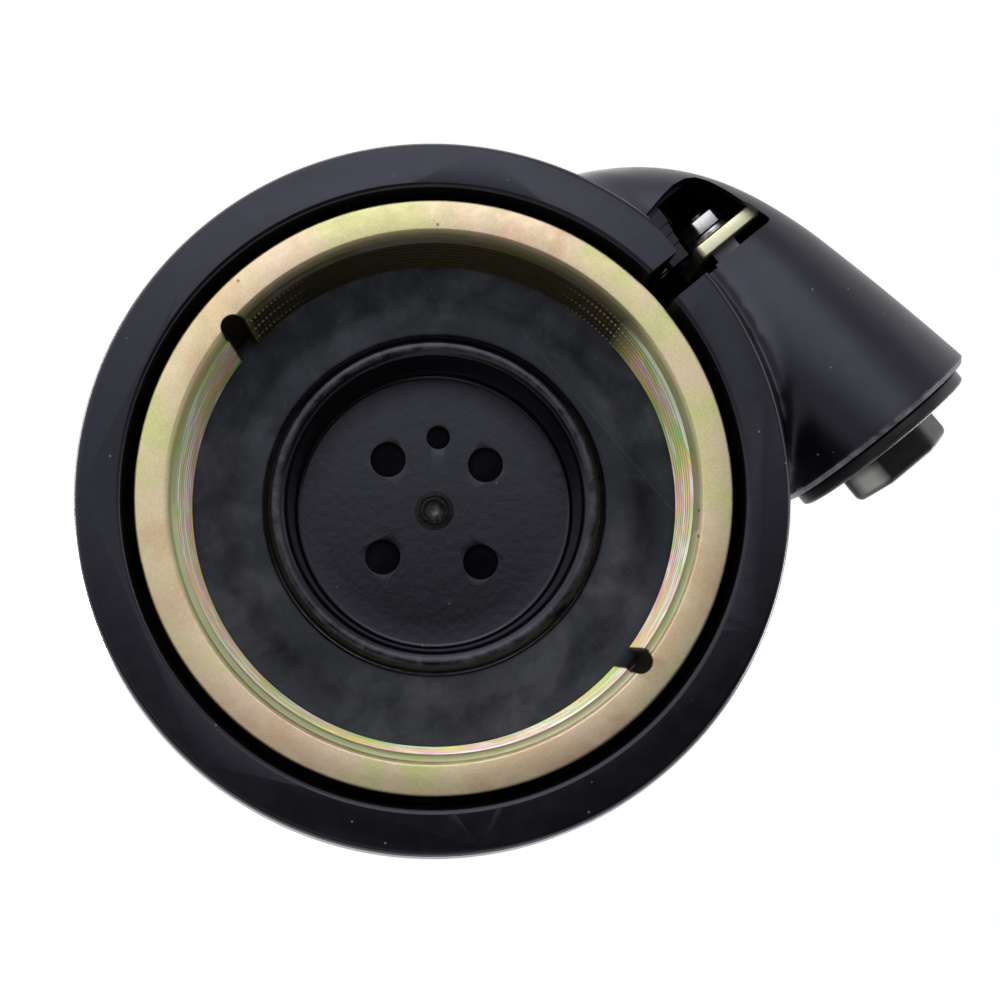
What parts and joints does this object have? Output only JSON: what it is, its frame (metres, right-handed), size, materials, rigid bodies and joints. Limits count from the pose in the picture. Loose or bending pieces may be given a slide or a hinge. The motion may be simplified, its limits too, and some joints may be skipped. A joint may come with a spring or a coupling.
{
  "type": "hydraulic filler cap",
  "caption": "Locking hydraulic filler cap: cast shell with a side lock lobe, threaded ring, gasket, vented breather cup, cam and dust cover.",
  "frame": {"origin": "centre of the open rim, on the cap's axis", "axes": "+Z along the cap's axis from the open rim to the crown, +X from the axis towards the lock lobe, +Y along the lock's axis towards its dust cover"},
  "size_m": [0.1366, 0.1094, 0.054],
  "materials": {
    "black_paint": "satin-gloss black enamel on a casting",
    "yellow_zinc": "yellow chromated zinc plating",
    "bright_steel": "bright turned steel",
    "brass": "turned brass",
    "black_rubber": "moulded nitrile rubber",
    "black_plastic": "moulded black nylon",
    "filter_felt": "resin-bonded felt"
  },
  "bodies": {
    "neck_unit": {"threaded_ring": "yellow_zinc", "ring_screw_1": "yellow_zinc", "ring_screw_2": "yellow_zinc", "ring_screw_3": "yellow_zinc", "ring_screw_4": "yellow_zinc", "ring_screw_5": "yellow_zinc", "ring_screw_6": "yellow_zinc", "carrier_plate": "bright_steel", "seal_gasket": "black_rubber", "breather_cup": "black_paint", "filter_element": "filter_felt", "pivot_post": "bright_steel", "spacer_sleeve": "bright_steel", "thrust_washer": "brass", "valve_spring": "bright_steel"},
    "valve": {"valve_plate": "bright_steel", "valve_seal": "black_rubber"},
    "shell": {"cap_shell": "black_paint", "retaining_ring": "bright_steel", "pivot_bush": "brass", "lock_barrel": "brass", "barrel_screw": "bright_steel"},
    "lock": {"lock_rotor": "bright_steel", "wafer_1": "brass", "wafer_2": "brass", "wafer_3": "brass", "wafer_4": "brass", "wafer_5": "brass", "rotor_clip": "bright_steel", "lock_cam": "yellow_zinc", "cam_washer": "bright_steel", "cam_nut": "bright_steel"},
    "cover": {"dust_cover": "black_plastic", "cover_seal": "black_rubber"}
  },
  "joints": [
    {"name": "shell_spin", "type": "hinge", "parent": "neck_unit", "child": "shell", "pos_m": [0, 0, 0], "axis": [0, 0, 1], "continuous": true},
    {"name": "lock_turn", "type": "hinge", "parent": "shell", "child": "lock", "pos_m": [0.0632, -0.0038, 0.0192], "axis": [0, -1, 0], "range_deg": [0, 90]},
    {"name": "cover_pull", "type": "slide", "parent": "shell", "child": "cover", "axis": [0, 1, 0], "range_m": [0, 0.02]},
    {"name": "valve_lift", "type": "slide", "parent": "neck_unit", "child": "valve", "axis": [0, 0, 1], "range_m": [0, 0.0012], "stiffness_N_per_m": 500, "springref_m": -0.002, "deforming": ["valve_spring"]}
  ]
}
